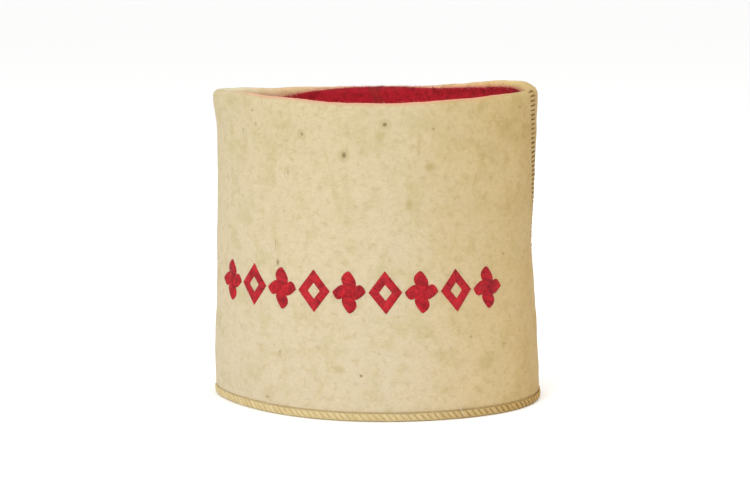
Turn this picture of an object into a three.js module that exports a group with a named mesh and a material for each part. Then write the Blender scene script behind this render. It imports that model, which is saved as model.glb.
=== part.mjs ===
// A felt papakha for the steam bath: a tall oval band of cream felt whose top edge rolls inwards, and a red felt
// crown sunk inside it. Thread edges the hem and closes the side seam, and a row of embroidery crosses the front.
// Millimetres, +Z up. The origin is on the surface that the hat stands on, in the middle of its width and depth.
// The front faces -Y. Turns around the hat start at its right end (+X) and go by the rear (+Y).

import * as THREE from "three";

// Overall sizes, outside
const hatWidth = 219.5;
const hatDepth = 156;
const hatHeight = 210;

// Felt
const feltThickness = 3;
const crownThickness = 2.6;
const rollInside = 1.4; // inner radius of the bend at the rim
const creaseInside = 1.6; // inner radius of the sharpest corner of the turned-in felt
const sewnGap = 0.3; // left between two pieces that touch
const crownSeamGap = 0.7; // at the shown face of the bend, which narrows to the gap above at its back

// Rim and crown
const turnInLength = 9.8; // felt turned in past the top of the roll, at the hat's ends
const crownSide = 15; // red felt that stands against the wall below the roll
const crownDepth = 40; // from the lowest point of the rim down to the middle of the crown

// Thread
const threadThickness = 0.8;
const hemStitchHeight = 5.2;
const hemSqueeze = 0.7; // how far the hem's thread presses into each face of the felt
const sideStitchWidth = 6;
const sideStitchThickness = 0.6;
const sideSeamOffset = 13; // at the rim, from the right end towards the front, along the felt

// Embroidery on the front
const motifCount = 9;
const motifPitch = 23;
const motifHeight = 27;
const motifWidth = 21;
const leafWidth = 9.2;
const lozengeStroke = 5;
const embroideryThickness = 0.8;
const embroideryMiddle = 83; // height of the row's middle above the hem
const embroideryShift = -10; // from the front's middle, along the felt, to the row's middle

// Fineness of the facets
const stepsAround = 72;
const stepsUpWall = 11;
const stepsOverRoll = 3;
const stepsDownSide = 3;
const stepsAcrossDish = 6;

// The band's section at several heights. height is a share of the rim's height there. left and right are shares of
// half the hat's width, and front and rear of half its depth. A fold of 0 is a round end, and 1 is the sharpest
// corner that the rolled rim has room for.
const bandSections = [
  { height: 0.0, left: 1.0, right: 1.0, front: 1.0, rear: 1.0, leftFold: 0.75, rightFold: -0.05 },
  { height: 0.15, left: 1.0, right: 0.985, front: 0.99, rear: 0.99, leftFold: 0.65, rightFold: 0.0 },
  { height: 0.32, left: 0.988, right: 0.963, front: 0.98, rear: 0.975, leftFold: 0.55, rightFold: 0.1 },
  { height: 0.52, left: 0.977, right: 0.936, front: 0.965, rear: 0.955, leftFold: 0.55, rightFold: 0.35 },
  { height: 0.72, left: 0.969, right: 0.949, front: 0.95, rear: 0.94, leftFold: 0.7, rightFold: 0.52 },
  { height: 0.8, left: 0.97, right: 0.956, front: 0.945, rear: 0.935, leftFold: 0.8, rightFold: 0.58 },
  { height: 0.88, left: 0.973, right: 0.957, front: 0.942, rear: 0.93, leftFold: 0.88, rightFold: 0.64 },
  { height: 0.96, left: 0.992, right: 0.962, front: 0.94, rear: 0.926, leftFold: 0.98, rightFold: 0.68 },
  { height: 1.0, left: 0.992, right: 0.96, front: 0.94, rear: 0.925, leftFold: 1.0, rightFold: 0.7 },
];

// The rim's line around the hat. turn is in degrees, rise is a share of the hat's height, and turnIn is a share of
// the length of felt turned in at the ends.
const rimLine = [
  { turn: 0, rise: 0.986, turnIn: 0.85 },
  { turn: 25, rise: 1.0, turnIn: 0.76 },
  { turn: 50, rise: 0.985, turnIn: 0.6 },
  { turn: 70, rise: 0.968, turnIn: 0.38 },
  { turn: 90, rise: 0.963, turnIn: 0.12 },
  { turn: 105, rise: 0.963, turnIn: 0.3 },
  { turn: 120, rise: 0.963, turnIn: 0.57 },
  { turn: 135, rise: 0.966, turnIn: 1.0 },
  { turn: 150, rise: 0.971, turnIn: 1.0 },
  { turn: 180, rise: 0.975, turnIn: 1.0 },
  { turn: 210, rise: 0.977, turnIn: 0.95 },
  { turn: 240, rise: 0.969, turnIn: 0.66 },
  { turn: 270, rise: 0.957, turnIn: 0.4 },
  { turn: 300, rise: 0.965, turnIn: 0.6 },
  { turn: 330, rise: 0.976, turnIn: 0.76 },
];

// Where the side seam runs. height is a share of the rim's height at the right end, and offset is a share of the
// seam's offset at the rim. A negative offset is behind the right end.
const seamLine = [
  { height: 0.0, offset: -0.77 },
  { height: 0.2, offset: -0.62 },
  { height: 0.4, offset: -0.33 },
  { height: 0.55, offset: 0.0 },
  { height: 0.68, offset: 0.42 },
  { height: 0.8, offset: 0.74 },
  { height: 0.9, offset: 0.89 },
  { height: 1.0, offset: 1.0 },
];

// Worked-out sizes
const rollRadius = feltThickness + rollInside;
const rollLength = Math.PI * rollRadius;
const hemLift = threadThickness + sewnGap;
const threadProud = threadThickness + sewnGap - hemSqueeze; // how far the hem's thread stands out of the band
const bandWidth = hatWidth - 2 * threadProud;
const bandDepth = hatDepth - 2 * threadProud;
const hemRelease = hemStitchHeight * 1.5;
const halfTurn = Math.PI;
const fullTurn = 2 * Math.PI;
const frontTurn = 1.5 * Math.PI;

// A smooth curve through each column of a table, read at a value of its first column.
function smoothTable(rows) {
  const [key, ...columns] = Object.keys(rows[0]);
  const places = rows.map((row) => row[key]);
  const values = rows.flatMap((row) => columns.map((column) => row[column]));
  const curve = new THREE.CubicInterpolant(places, values, columns.length);
  return (place) => {
    const found = curve.evaluate(place);
    return Object.fromEntries(columns.map((column, i) => [column, found[i]]));
  };
}

// The same rows once more before and after, so that the curve closes on itself.
function repeatedAround(rows) {
  const moved = (by) => rows.map((row) => ({ ...row, turn: row.turn + by }));
  return [...moved(-360), ...rows, ...moved(360)];
}

const sectionAt = smoothTable(bandSections);
const rimColumns = smoothTable(repeatedAround(rimLine));
const seamAt = smoothTable(seamLine);

function rimAt(angle) {
  const turn = THREE.MathUtils.euclideanModulo(THREE.MathUtils.radToDeg(angle), 360);
  const { rise, turnIn } = rimColumns(turn);
  const top = hatHeight * rise;
  return { top, rollStart: top - rollRadius, turnIn: turnInLength * turnIn };
}

// How much of the sine a folded end keeps. A corner's radius is the square of depth times this, over the width.
function roundness(fold, halfWidth, halfDepth) {
  const sharpest = 2 * rollRadius + creaseInside;
  const least = Math.min(1, Math.sqrt(sharpest * halfWidth) / halfDepth);
  return THREE.MathUtils.lerp(1, least, fold);
}

// Where the band's outer face is at a height, with no thread pressing into it.
function planPoint(angle, height) {
  const section = sectionAt(height / rimAt(angle).top);
  const halfWidth = ((section.right + section.left) / 2) * (bandWidth / 2);
  const halfDepth = ((section.rear + section.front) / 2) * (bandDepth / 2);
  const middleX = ((section.right - section.left) / 2) * (bandWidth / 2);
  const middleY = ((section.rear - section.front) / 2) * (bandDepth / 2);
  const leftShare = (1 - Math.cos(angle)) / 2;
  const fold = THREE.MathUtils.lerp(section.rightFold, section.leftFold, leftShare);
  const kept = roundness(fold, halfWidth, halfDepth);
  const side = Math.sin(angle);
  const x = middleX + halfWidth * Math.cos(angle);
  const y = middleY + halfDepth * side * (kept + (1 - kept) * Math.abs(side));
  return new THREE.Vector3(x, y, height);
}

// The level direction out of the band.
function planNormal(angle, height) {
  const nudge = 1e-3;
  const along = planPoint(angle + nudge, height).sub(planPoint(angle - nudge, height));
  return new THREE.Vector3(along.y, -along.x, 0).normalize();
}

function squeezeAt(height) {
  return hemSqueeze * (1 - THREE.MathUtils.smoothstep(height, hemStitchHeight, hemRelease));
}

// The felt's shown face, followed by length from the hem up the wall, over the roll and down inside the hat.
function facePoint(angle, length) {
  const { rollStart } = rimAt(angle);
  if (length <= rollStart) {
    const squeeze = planNormal(angle, length).multiplyScalar(squeezeAt(length));
    return planPoint(angle, length).sub(squeeze);
  }
  const bent = Math.min((length - rollStart) / rollRadius, halfTurn);
  const below = Math.max(0, length - rollStart - rollLength);
  const height = rollStart + rollRadius * Math.sin(bent) - below;
  const base = planPoint(angle, rollStart - below);
  const inward = planNormal(angle, rollStart - below).multiplyScalar(rollRadius * (1 - Math.cos(bent)));
  return base.sub(inward).setZ(height);
}

// The crown's dish, from the foot of its side (0) to its middle (1).
function dishPoint(angle, share) {
  const { rollStart } = rimAt(angle);
  const edge = facePoint(angle, rollStart + rollLength + crownSide);
  const section = sectionAt(1);
  const middle = new THREE.Vector3(
    ((section.right - section.left) / 2) * (bandWidth / 2),
    ((section.rear - section.front) / 2) * (bandDepth / 2),
    lowestRim - crownDepth,
  );
  const bent = (share * Math.PI) / 2;
  const reach = Math.cos(bent);
  return new THREE.Vector3(
    THREE.MathUtils.lerp(middle.x, edge.x, reach),
    THREE.MathUtils.lerp(middle.y, edge.y, reach),
    THREE.MathUtils.lerp(edge.z, middle.z, Math.sin(bent)),
  );
}

const lowestRim = hatHeight * Math.min(...rimLine.map((row) => row.rise));

// The direction out of a face given as a function of the angle and one other value.
function outOf(face, angle, value) {
  const nudge = 1e-3;
  const around = face(angle + nudge, value).sub(face(angle - nudge, value));
  const along = face(angle, value + nudge).sub(face(angle, value - nudge));
  return around.cross(along).normalize();
}

// A closed solid from a grid of points on its shown face and the same grid on its back. The grid closes around
// itself where ring is true. A row whose points all meet is a pole, and needs no edge.
function solidBetween(shown, back, ring) {
  const rows = shown.length;
  const columns = shown[0].length;
  const across = ring ? columns : columns - 1;
  const points = [...shown.flat(), ...back.flat()];
  const corner = (side, row, column) => (side * rows + row) * columns + (column % columns);
  const triangles = [];
  const quad = (a, b, c, d) => triangles.push([a, b, c], [a, c, d]);
  for (let row = 0; row < rows - 1; row += 1) {
    for (let column = 0; column < across; column += 1) {
      const grid = [[row, column], [row, column + 1], [row + 1, column + 1], [row + 1, column]];
      quad(...grid.map(([r, c]) => corner(0, r, c)));
      quad(...grid.reverse().map(([r, c]) => corner(1, r, c)));
    }
  }
  for (let column = 0; column < across; column += 1) {
    const last = rows - 1;
    quad(corner(1, 0, column), corner(1, 0, column + 1), corner(0, 0, column + 1), corner(0, 0, column));
    quad(corner(0, last, column), corner(0, last, column + 1), corner(1, last, column + 1), corner(1, last, column));
  }
  for (let row = 0; row < rows - 1 && !ring; row += 1) {
    quad(corner(0, row, 0), corner(0, row + 1, 0), corner(1, row + 1, 0), corner(1, row, 0));
    quad(corner(1, row, across), corner(1, row + 1, across), corner(0, row + 1, across), corner(0, row, across));
  }
  return facetGeometry(points, triangles);
}

// A geometry from points and triangles. A triangle with two corners in one place is left out.
function facetGeometry(points, triangles) {
  const smallest = 1e-6;
  const real = triangles.filter(([a, b, c]) =>
    [[a, b], [b, c], [c, a]].every(([from, to]) => points[from].distanceTo(points[to]) > smallest),
  );
  const corners = real.flatMap((triangle) => triangle.map((index) => points[index]));
  const geometry = new THREE.BufferGeometry().setFromPoints(corners);
  geometry.computeVertexNormals();
  return geometry;
}

function evenAngles() {
  return Array.from({ length: stepsAround }, (_, step) => (step * fullTurn) / stepsAround);
}

// Evenly spaced values from one to another, both included.
function evenSteps(from, to, steps) {
  return Array.from({ length: steps + 1 }, (_, step) => THREE.MathUtils.lerp(from, to, step / steps));
}

function feltMaterial(color) {
  return new THREE.MeshStandardMaterial({ color, roughness: 0.95, metalness: 0 });
}

function threadMaterial(color) {
  return new THREE.MeshStandardMaterial({ color, roughness: 0.6, metalness: 0 });
}

const creamFelt = feltMaterial(0xdcca9f);
const redFelt = feltMaterial(0xa81f30);
const creamThread = threadMaterial(0xd9bf80);
const redThread = threadMaterial(0xb51c33);

function namedMesh(name, geometry, material) {
  const mesh = new THREE.Mesh(geometry, material);
  mesh.name = name;
  return mesh;
}

// The cream band: up from the hem, over the roll and down to the edge that is sewn to the crown.
function bandGeometry() {
  const lengthsAt = (angle) => {
    const { rollStart, turnIn } = rimAt(angle);
    const rollTop = rollStart + rollLength / 2;
    return [
      hemLift,
      hemStitchHeight,
      ...evenSteps(hemRelease, rollStart, stepsUpWall),
      ...evenSteps(rollStart, rollTop, stepsOverRoll).slice(1),
      ...evenSteps(rollTop, rollTop + turnIn, stepsOverRoll).slice(1),
    ];
  };
  const columns = evenAngles().map((angle) => lengthsAt(angle).map((length) => {
    const shown = facePoint(angle, length);
    const thickness = feltThickness - 2 * squeezeAt(length);
    const back = shown.clone().addScaledVector(outOf(facePoint, angle, length), -thickness);
    return { shown, back };
  }));
  return ringFromColumns(columns);
}

// Columns of shown and back points, turned into rows and closed around the hat.
function ringFromColumns(columns) {
  const rows = columns[0].map((_, row) => columns.map((column) => column[row]));
  const shown = rows.map((row) => row.map((point) => point.shown));
  const back = rows.map((row) => row.map((point) => point.back));
  return solidBetween(shown, back, true);
}

// The red crown: from its sewn edge down the inside of the rim, then across the dish to its middle.
function crownGeometry() {
  const columns = evenAngles().map((angle) => {
    const { rollStart, turnIn } = rimAt(angle);
    const edge = rollStart + rollLength / 2 + turnIn + crownSeamGap;
    const foot = rollStart + rollLength + crownSide;
    const side = evenSteps(edge, foot, stepsDownSide).slice(0, -1);
    const dish = evenSteps(0, 1, stepsAcrossDish);
    const sidePoints = side.map((length) => withBack(facePoint, angle, length));
    const dishPoints = dish.map((share) => withBack(dishPoint, angle, share));
    return [...sidePoints, ...dishPoints];
  });
  return ringFromColumns(columns);
}

function withBack(face, angle, value) {
  const shown = face(angle, value);
  const atPole = face === dishPoint && value === 1;
  const out = atPole ? new THREE.Vector3(0, 0, 1) : outOf(face, angle, value);
  return { shown, back: shown.clone().addScaledVector(out, -crownThickness) };
}

// The thread edging: a channel around the hem, flat underneath where the hat stands on it.
function hemStitchingGeometry() {
  const outer = threadProud;
  const inner = -feltThickness - threadProud;
  const outerFelt = outer - threadThickness;
  const innerFelt = inner + threadThickness;
  const chamfer = threadThickness * 0.7;
  const channel = [
    { out: outerFelt, height: hemStitchHeight },
    { out: outer, height: hemStitchHeight },
    { out: outer, height: chamfer },
    { out: outer - chamfer, height: 0 },
    { out: inner + chamfer, height: 0 },
    { out: inner, height: chamfer },
    { out: inner, height: hemStitchHeight },
    { out: innerFelt, height: hemStitchHeight },
    { out: innerFelt, height: threadThickness },
    { out: outerFelt, height: threadThickness },
  ];
  const points = evenAngles().map((angle) => channel.map(({ out, height }) =>
    planPoint(angle, height).addScaledVector(planNormal(angle, height), out)));
  return closedSweep(points);
}

// A closed loop of equal closed outlines, joined one to the next.
function closedSweep(outlines) {
  const count = outlines.length;
  const size = outlines[0].length;
  const corner = (outline, point) => (outline % count) * size + (point % size);
  const triangles = outlines.flatMap((outline, i) => outline.flatMap((_, j) => {
    const [a, b, c, d] = [corner(i, j), corner(i, j + 1), corner(i + 1, j + 1), corner(i + 1, j)];
    return [[a, b, c], [a, c, d]];
  }));
  return facetGeometry(outlines.flat(), triangles);
}

// The band's section at one height, as a curve that starts at a given turn and can be followed by length.
class BandLoop extends THREE.Curve {
  constructor(height, startTurn) {
    super();
    this.height = height;
    this.startTurn = startTurn;
    this.arcLengthDivisions = 720;
  }

  getPoint(share, target = new THREE.Vector3()) {
    return target.copy(planPoint(this.startTurn + share * fullTurn, this.height));
  }

  // The turn at a length along the loop, which may be negative.
  turnAt(length) {
    const around = THREE.MathUtils.euclideanModulo(length, this.getLength());
    return this.startTurn + this.getUtoTmapping(0, around) * fullTurn;
  }
}

// The thread over the side seam: a narrow strip that lies on the band near its right end and goes over the rim.
function sideStitchingGeometry() {
  const { top, rollStart } = rimAt(0);
  const places = [
    ...evenSteps(0, 1, stepsUpWall).map((upWall) => ({ upWall, overRoll: 0 })),
    ...evenSteps(0, rollLength * 0.4, stepsOverRoll).slice(1).map((overRoll) => ({ upWall: 1, overRoll })),
  ];
  const rows = places.map(({ upWall, overRoll }) => {
    const level = THREE.MathUtils.lerp(hemRelease, rollStart, upWall);
    const loop = new BandLoop(level, 0);
    const offset = sideSeamOffset * seamAt(level / top).offset;
    return [-sideStitchWidth / 2, 0, sideStitchWidth / 2].map((across) => {
      const angle = loop.turnAt(across - offset);
      const length = THREE.MathUtils.lerp(hemRelease, rimAt(angle).rollStart, upWall) + overRoll;
      const out = outOf(facePoint, angle, length);
      const back = facePoint(angle, length).addScaledVector(out, sewnGap);
      return { shown: back.clone().addScaledVector(out, sideStitchThickness), back };
    });
  });
  const shown = rows.map((row) => row.map((point) => point.shown));
  const back = rows.map((row) => row.map((point) => point.back));
  return solidBetween(shown, back, false);
}

// Four pointed leaves that meet in the middle, the upright pair longer than the level pair.
function leafCrossShape() {
  const tips = [[motifWidth / 2, 0], [0, motifHeight / 2], [-motifWidth / 2, 0], [0, -motifHeight / 2]];
  const notch = leafWidth * 0.24;
  const bulge = leafWidth * 0.86;
  const shape = new THREE.Shape();
  shape.moveTo(notch, -notch);
  tips.forEach(([x, y]) => {
    const [alongX, alongY] = [Math.sign(x), Math.sign(y)];
    const [sideX, sideY] = [alongY, -alongX];
    const [midX, midY] = [x * 0.55, y * 0.55];
    shape.quadraticCurveTo(midX + sideX * bulge, midY + sideY * bulge, x, y);
    const end = [notch * (alongX - sideX), notch * (alongY - sideY)];
    shape.quadraticCurveTo(midX - sideX * bulge, midY - sideY * bulge, ...end);
  });
  return shape;
}

// A lozenge with an open middle.
function lozengeShape() {
  const outline = (halfWidth, halfHeight) => [
    new THREE.Vector2(halfWidth, 0),
    new THREE.Vector2(halfWidth / 2, halfHeight / 2),
    new THREE.Vector2(0, halfHeight),
    new THREE.Vector2(-halfWidth / 2, halfHeight / 2),
    new THREE.Vector2(-halfWidth, 0),
    new THREE.Vector2(-halfWidth / 2, -halfHeight / 2),
    new THREE.Vector2(0, -halfHeight),
    new THREE.Vector2(halfWidth / 2, -halfHeight / 2),
  ];
  const slant = Math.hypot(motifWidth, motifHeight);
  const insetWidth = (lozengeStroke * slant) / motifHeight;
  const insetHeight = (lozengeStroke * slant) / motifWidth;
  const shape = new THREE.Shape(outline(motifWidth / 2, motifHeight / 2));
  const hole = outline(motifWidth / 2 - insetWidth, motifHeight / 2 - insetHeight);
  shape.holes.push(new THREE.Path(hole));
  return shape;
}

// A flat motif laid on the front of the band, its middle at a length along the felt from the front's middle.
function motifGeometry(shape, middle) {
  const geometry = new THREE.ExtrudeGeometry(shape, {
    depth: embroideryThickness,
    bevelEnabled: false,
    curveSegments: 5,
  });
  const loop = new BandLoop(embroideryMiddle, frontTurn);
  const places = geometry.getAttribute("position");
  const point = new THREE.Vector3();
  for (let i = 0; i < places.count; i += 1) {
    point.fromBufferAttribute(places, i);
    const angle = loop.turnAt(middle + point.x);
    const height = embroideryMiddle + point.y;
    const out = outOf(facePoint, angle, height);
    const laid = facePoint(angle, height).addScaledVector(out, sewnGap + point.z);
    places.setXYZ(i, ...laid);
  }
  geometry.computeVertexNormals();
  return geometry;
}

function embroideryMeshes() {
  const firstMiddle = embroideryShift - ((motifCount - 1) * motifPitch) / 2;
  return Array.from({ length: motifCount }, (_, i) => {
    const isCross = i % 2 === 0;
    const shape = isCross ? leafCrossShape() : lozengeShape();
    const name = `embroidery_${isCross ? "leaf_cross" : "lozenge"}_${i + 1}`;
    return namedMesh(name, motifGeometry(shape, firstMiddle + i * motifPitch), redThread);
  });
}

const hat = new THREE.Group();
hat.add(
  namedMesh("felt_band", bandGeometry(), creamFelt),
  namedMesh("sunk_crown", crownGeometry(), redFelt),
  namedMesh("hem_stitching", hemStitchingGeometry(), creamThread),
  namedMesh("side_seam_stitching", sideStitchingGeometry(), creamThread),
  ...embroideryMeshes(),
);

export default hat;
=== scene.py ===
import math

import bpy
import numpy as np
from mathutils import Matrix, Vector, noise


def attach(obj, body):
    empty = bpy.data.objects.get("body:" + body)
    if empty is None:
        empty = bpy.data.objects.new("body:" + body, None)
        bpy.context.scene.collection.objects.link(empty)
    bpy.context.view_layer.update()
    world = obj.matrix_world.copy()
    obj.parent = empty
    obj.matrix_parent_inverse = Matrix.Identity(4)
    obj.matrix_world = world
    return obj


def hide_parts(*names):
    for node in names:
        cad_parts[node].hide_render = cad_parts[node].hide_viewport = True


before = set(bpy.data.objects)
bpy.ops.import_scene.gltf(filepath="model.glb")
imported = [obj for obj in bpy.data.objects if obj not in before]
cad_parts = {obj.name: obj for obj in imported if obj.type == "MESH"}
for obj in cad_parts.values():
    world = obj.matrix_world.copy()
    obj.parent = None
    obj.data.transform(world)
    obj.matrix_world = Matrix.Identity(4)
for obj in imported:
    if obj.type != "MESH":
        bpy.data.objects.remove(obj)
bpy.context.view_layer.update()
print("frame loaded")

# Lengths are in metres. The hat stands at the origin and its front faces -Y. Turns around it start at its
# right end (+X) and go by the rear (+Y).
hat = {
    "width": 0.2195,
    "depth": 0.156,
    "height": 0.210,
    "felt": 0.003,
    "crownFelt": 0.0026,
    "threadProud": 0.0004,  # how far the hem's thread stands out of the band
    "rollInside": 0.0014,
    "creaseInside": 0.0016,
    "turnIn": 0.0098,
    "crownSide": 0.015,
    "crownDepth": 0.040,
    "hemHeight": 0.0052,
    "hemLift": 0.0011,
    "hemSqueeze": 0.0007,
    "hemRelease": 0.0078,
    "seamOffset": 0.0122,  # the side seam at the rim, from the right end towards the front
}

# height is a share of the rim's height, left and right of half the width, front and rear of half the depth
sectionRows = np.array([
    # height left right front rear leftFold rightFold
    [0.00, 1.000, 1.000, 1.000, 1.000, 0.75, -0.05],
    [0.15, 1.000, 0.985, 0.990, 0.990, 0.65, 0.00],
    [0.32, 0.988, 0.963, 0.980, 0.975, 0.55, 0.10],
    [0.52, 0.977, 0.936, 0.965, 0.955, 0.55, 0.35],
    [0.72, 0.969, 0.949, 0.950, 0.940, 0.70, 0.52],
    [0.80, 0.970, 0.956, 0.945, 0.935, 0.80, 0.58],
    [0.88, 0.973, 0.957, 0.942, 0.930, 0.88, 0.64],
    [0.96, 0.992, 0.962, 0.940, 0.926, 0.98, 0.68],
    [1.00, 0.992, 0.960, 0.940, 0.925, 1.00, 0.70],
])

rimRows = np.array([
    # turn in degrees, share of the hat's height, share of the felt turned in at the ends
    [0, 0.986, 0.85],
    [25, 1.000, 0.76],
    [50, 0.985, 0.60],
    [70, 0.968, 0.38],
    [90, 0.963, 0.12],
    [105, 0.963, 0.30],
    [120, 0.963, 0.57],
    [135, 0.966, 1.00],
    [150, 0.971, 1.00],
    [180, 0.975, 1.00],
    [210, 0.977, 0.95],
    [240, 0.969, 0.66],
    [270, 0.957, 0.40],
    [300, 0.965, 0.60],
    [330, 0.976, 0.76],
])

seamRows = np.array([
    # share of the rim's height, share of the seam's offset at the rim
    [0.00, -1.10],
    [0.20, -0.96],
    [0.40, -0.72],
    [0.55, -0.36],
    [0.68, 0.30],
    [0.80, 0.74],
    [0.90, 0.89],
    [1.00, 1.00],
])

fullTurn = 2 * math.pi
rollRadius = hat["felt"] + hat["rollInside"]
rollLength = math.pi * rollRadius
halfWidth = hat["width"] / 2 - hat["threadProud"]
halfDepth = hat["depth"] / 2 - hat["threadProud"]
wholeRim = np.vstack([rimRows + [shift, 0, 0] for shift in (-360, 0, 360)])


def readRows(rows, at):
    # a smooth curve through each column of a table, read at values of its first column
    places, values = rows[:, 0], rows[:, 1:]
    after = np.clip(np.searchsorted(places, at, side="right"), 1, len(places) - 1)
    before = after - 1
    earlier = np.where(before == 0, after, before - 1)
    later = np.where(after == len(places) - 1, before, np.minimum(after + 1, len(places) - 1))
    start, end = places[before], places[after]
    pullBefore = 0.5 * (end - start) / (start - places[earlier])
    pullAfter = 0.5 * (end - start) / (places[later] - end)
    p = (at - start) / (end - start)
    weights = (
        -pullBefore * p**3 + 2 * pullBefore * p**2 - pullBefore * p,
        (1 + pullBefore) * p**3 - (1.5 + 2 * pullBefore) * p**2 + (pullBefore - 0.5) * p + 1,
        -(1 + pullAfter) * p**3 + (1.5 + pullAfter) * p**2 + 0.5 * p,
        pullAfter * p**3 - pullAfter * p**2,
    )
    nearby = (earlier, before, after, later)
    found = sum(weight[..., None] * values[i] for weight, i in zip(weights, nearby))
    return np.moveaxis(found, -1, 0)


def rimAt(turn):
    rise, turnIn = readRows(wholeRim, np.degrees(turn) % 360)
    return hat["height"] * rise, hat["turnIn"] * turnIn


def rollStartAt(turn):
    return rimAt(turn)[0] - rollRadius


def bandPlan(turn, height):
    # where the band's outer face is, with no thread pressing into it
    left, right, front, rear, leftFold, rightFold = readRows(sectionRows, height / rimAt(turn)[0])
    wide, deep = (left + right) / 2 * halfWidth, (front + rear) / 2 * halfDepth
    fold = rightFold + (leftFold - rightFold) * (1 - np.cos(turn)) / 2
    sharpest = 2 * rollRadius + hat["creaseInside"]
    least = np.minimum(1, np.sqrt(sharpest * wide) / deep)
    kept = 1 + (least - 1) * fold
    side = np.sin(turn)
    x = (right - left) / 2 * halfWidth + wide * np.cos(turn)
    y = (rear - front) / 2 * halfDepth + deep * side * (kept + (1 - kept) * np.abs(side))
    return np.stack([x, y], -1)


def planOut(turn, height):
    along = bandPlan(turn + 1e-3, height) - bandPlan(turn - 1e-3, height)
    out = np.stack([along[..., 1], -along[..., 0]], -1)
    return out / np.linalg.norm(out, axis=-1, keepdims=True)


def smoothStep(value, low, high):
    p = np.clip((value - low) / (high - low), 0, 1)
    return p * p * (3 - 2 * p)


def squeezeAt(height):
    return hat["hemSqueeze"] * (1 - smoothStep(height, hat["hemHeight"], hat["hemRelease"]))


def feltFace(turn, length):
    # the felt's shown face, by length from the hem up the wall, over the roll and down inside
    rollStart = rollStartAt(turn)
    bent = np.clip((length - rollStart) / rollRadius, 0, math.pi)
    below = np.maximum(0, length - rollStart - rollLength)
    level = np.where(length < rollStart, length, rollStart - below)
    inward = squeezeAt(level) + rollRadius * (1 - np.cos(bent))
    flat = bandPlan(turn, level) - planOut(turn, level) * inward[..., None]
    return np.concatenate([flat, (level + rollRadius * np.sin(bent))[..., None]], -1)


def dishFace(turn, share):
    # the crown's dish, from the foot of its side (0) to its middle (1)
    edge = feltFace(turn, rollStartAt(turn) + rollLength + hat["crownSide"])
    left, right, front, rear, *_ = sectionRows[-1][1:]
    lowest = hat["height"] * rimRows[:, 1].min() - hat["crownDepth"]
    middle = np.array([(right - left) / 2 * halfWidth, (rear - front) / 2 * halfDepth, lowest])
    across = edge + (middle - edge) * (1 - np.cos(share * math.pi / 2))[..., None]
    down = edge + (middle - edge) * np.sin(share * math.pi / 2)[..., None]
    return np.concatenate([across[..., :2], down[..., 2:]], -1)


def outOf(face, turn, value):
    step = 1e-5 if face is feltFace else 1e-3
    around = face(turn + 1e-3, value) - face(turn - 1e-3, value)
    along = face(turn, value + step) - face(turn, value - step)
    out = np.cross(around, along)
    return out / np.maximum(np.linalg.norm(out, axis=-1, keepdims=True), 1e-12)


class BandLoop:
    # the band's outline at one height, followed by length from a starting turn
    def __init__(self, height, startTurn):
        self.turns = startTurn + np.linspace(0, fullTurn, 1441)
        points = bandPlan(self.turns, np.full(1441, height))
        steps = np.linalg.norm(np.diff(points, axis=0), axis=1)
        self.lengths = np.concatenate([[0], np.cumsum(steps)])
        self.around = self.lengths[-1]

    def turnAt(self, length):
        laps = np.floor(length / self.around)
        return np.interp(length - laps * self.around, self.lengths, self.turns) + laps * fullTurn


def seamOffsetAt(height):
    rim = rimAt(np.array(0.0))[0]
    return hat["seamOffset"] * readRows(seamRows, np.array(height / rim))[0]


def unevenness(points, size, seed):
    # smooth hills and hollows of about the given size, between about -1 and 1
    shift = Vector((seed * 7.31, seed * 3.17, seed * 5.71))
    found = [noise.noise(Vector(point) / size + shift) for point in points.reshape(-1, 3)]
    return np.array(found).reshape(points.shape[:-1]) * 1.6


def addObject(name, mesh, material=None):
    mesh.name = name
    made = bpy.data.objects.new(name, mesh)
    bpy.context.scene.collection.objects.link(made)
    if material:
        mesh.materials.clear()
        mesh.materials.append(material)
    return made


# The felt's UV map holds lengths in metres, U across from the side seam and V up from the hem. These are
# added to V to tell the felt's parts apart.
onRollFrom = 5.0  # length over the roll
onTurnInFrom = 6.0  # length from the red felt
hiddenAt = 9.0  # felt that no seam or hem shades


def ringShell(name, shown, back, poles=None, uv=None):
    # A closed wall between two grids that go around the hat, with rows up the shown face. Poles close the
    # last row of each grid. Without them the two last rows are joined.
    rows, columns = shown.shape[:2]
    backRows = back.shape[0]
    points = [shown.reshape(-1, 3), back.reshape(-1, 3)]
    behind = rows * columns
    lastShown, lastBack = (rows - 1) * columns, behind + (backRows - 1) * columns
    faces, faceUv = [], []
    far = (hiddenAt, hiddenAt)

    def addFace(corners, places=None):
        faces.append(corners)
        faceUv.extend(places or [far] * len(corners))

    for column in range(columns):
        after = (column + 1) % columns
        for row in range(rows - 1):
            low, high = row * columns, (row + 1) * columns
            places = None
            if uv is not None:
                grid = ((row, column), (row, column + 1), (row + 1, column + 1), (row + 1, column))
                places = [(uv[0][r][c], uv[1][r][c % columns]) for r, c in grid]
            addFace((low + column, low + after, high + after, high + column), places)
        for row in range(backRows - 1):
            low, high = behind + row * columns, behind + (row + 1) * columns
            addFace((low + column, high + column, high + after, low + after))
        addFace((behind + column, behind + after, after, column))
        if poles is None:
            addFace((lastShown + column, lastShown + after, lastBack + after, lastBack + column))
        else:
            pole = behind + backRows * columns
            addFace((lastShown + column, lastShown + after, pole))
            addFace((lastBack + after, lastBack + column, pole + 1))
    if poles is not None:
        points.append(np.array(poles))
    mesh = bpy.data.meshes.new(name)
    mesh.from_pydata(np.vstack(points).tolist(), [], faces)
    mesh.polygons.foreach_set("use_smooth", [True] * len(faces))
    if uv is not None:
        layer = mesh.uv_layers.new(name="felt")
        layer.data.foreach_set("uv", np.array(faceUv, dtype=np.float32).ravel())
    return mesh


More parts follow.
